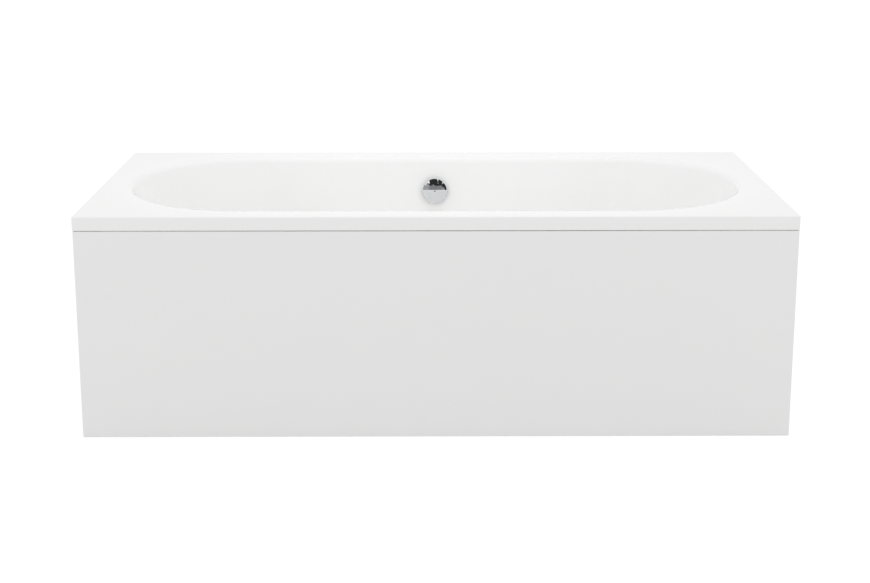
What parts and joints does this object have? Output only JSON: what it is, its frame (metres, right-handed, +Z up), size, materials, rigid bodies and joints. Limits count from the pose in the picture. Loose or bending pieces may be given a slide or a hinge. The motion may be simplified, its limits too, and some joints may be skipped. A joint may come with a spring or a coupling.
{
  "type": "alcove bathtub",
  "caption": "Built-in acrylic bathtub with a flat rectangular rim, oval bowl, rotary overflow knob, lifting plug, removable front panel and a steel cradle on screw feet.",
  "frame": {"origin": "on the floor under the middle of the rim's rectangle, level with the undersides of the four feet", "axes": "+X along the bath's length, -Y towards the front panel, +Y towards the back wall with the overflow, +Z up"},
  "size_m": [1.8, 0.8, 0.58],
  "materials": {
    "acrylic": "high-gloss white sanitary acrylic",
    "panel_acrylic": "gloss white acrylic panel",
    "glassfibre": "sprayed chopped-strand glassfibre in resin, rough and slightly translucent",
    "chipboard": "raw chipboard",
    "mdf": "raw fibreboard",
    "timber": "planed softwood",
    "galvanised": "galvanised sheet steel, dull spangle",
    "zinc": "bright zinc plated",
    "black_plastic": "black moulded plastic",
    "chrome": "polished chrome plating",
    "steel": "turned stainless rod",
    "rubber": "black rubber",
    "white_plastic": "moulded white polypropylene"
  },
  "bodies": {
    "bath": {"bar_screws": "zinc", "base_board": "chipboard", "bath_shell": "acrylic", "cable_cover": "white_plastic", "cable_sheath": "black_plastic", "cross_bar_left": "galvanised", "cross_bar_right": "galvanised", "foot_nuts": "zinc", "frame_bolts": "zinc", "frame_nuts": "zinc", "glassfibre_layer": "glassfibre", "lever_housing": "white_plastic", "magnet_catches": "black_plastic", "outlet_nut": "white_plastic", "outlet_tail": "white_plastic", "overflow_body": "white_plastic", "overflow_nut_bottom": "white_plastic", "overflow_nut_top": "white_plastic", "overflow_pipe": "white_plastic", "overflow_ring": "chrome", "overflow_seal": "rubber", "rail_screws": "zinc", "rim_rail_back": "timber", "rim_rail_front": "timber", "rim_rail_left": "timber", "rim_rail_right": "timber", "rim_strut_front_left": "galvanised", "rim_strut_front_right": "galvanised", "rim_strut_rear_left": "galvanised", "rim_strut_rear_right": "galvanised", "trap_cup": "white_plastic", "trap_seal": "rubber", "wall_bracket_back_left": "galvanised", "wall_bracket_back_right": "galvanised", "wall_bracket_left": "galvanised", "wall_bracket_right": "galvanised", "waste_body": "white_plastic", "waste_flange": "chrome", "waste_seal_bottom": "rubber", "waste_seal_top": "rubber"},
    "knob": {"overflow_knob": "chrome", "knob_spindle": "steel"},
    "plug": {"plug_cap": "chrome", "plug_seal": "rubber", "plug_stem": "steel"},
    "lever": {"lift_lever": "white_plastic"},
    "apron": {"apron_skin": "panel_acrylic", "apron_top_rail": "mdf", "apron_bottom_rail": "mdf", "apron_stiffeners": "mdf", "catch_plates": "galvanised"},
    "foot_front_left": {"foot_stud_front_left": "zinc", "foot_pad_front_left": "black_plastic"},
    "foot_front_right": {"foot_stud_front_right": "zinc", "foot_pad_front_right": "black_plastic"},
    "foot_rear_left": {"foot_stud_rear_left": "zinc", "foot_pad_rear_left": "black_plastic"},
    "foot_rear_right": {"foot_stud_rear_right": "zinc", "foot_pad_rear_right": "black_plastic"}
  },
  "joints": [
    {"name": "knob_turn", "type": "hinge", "parent": "bath", "child": "knob", "pos_m": [0, 0.30886, 0.483], "axis": [0, -0.9847, 0.174], "range_deg": [0, 90]},
    {"name": "lever_swing", "type": "hinge", "parent": "bath", "child": "lever", "pos_m": [0, -0.016, 0.104], "axis": [1, 0, 0], "range_deg": [0, 40]},
    {"name": "plug_lift", "type": "slide", "parent": "bath", "child": "plug", "axis": [0, 0, 1], "range_m": [0, 0.01094]},
    {"name": "apron_pull", "type": "slide", "parent": "bath", "child": "apron", "axis": [0, -1, 0], "range_m": [0, 0.15]},
    {"name": "foot_front_left_height", "type": "slide", "parent": "bath", "child": "foot_front_left", "axis": [0, 0, -1], "range_m": [0, 0.02]},
    {"name": "foot_front_right_height", "type": "slide", "parent": "bath", "child": "foot_front_right", "axis": [0, 0, -1], "range_m": [0, 0.02]},
    {"name": "foot_rear_left_height", "type": "slide", "parent": "bath", "child": "foot_rear_left", "axis": [0, 0, -1], "range_m": [0, 0.02]},
    {"name": "foot_rear_right_height", "type": "slide", "parent": "bath", "child": "foot_rear_right", "axis": [0, 0, -1], "range_m": [0, 0.02]}
  ],
  "couplings": [
    {"joint": "knob_turn", "follows": "plug_lift", "rad_per_m": 143.51},
    {"joint": "lever_swing", "follows": "plug_lift", "rad_per_m": 63.78}
  ]
}
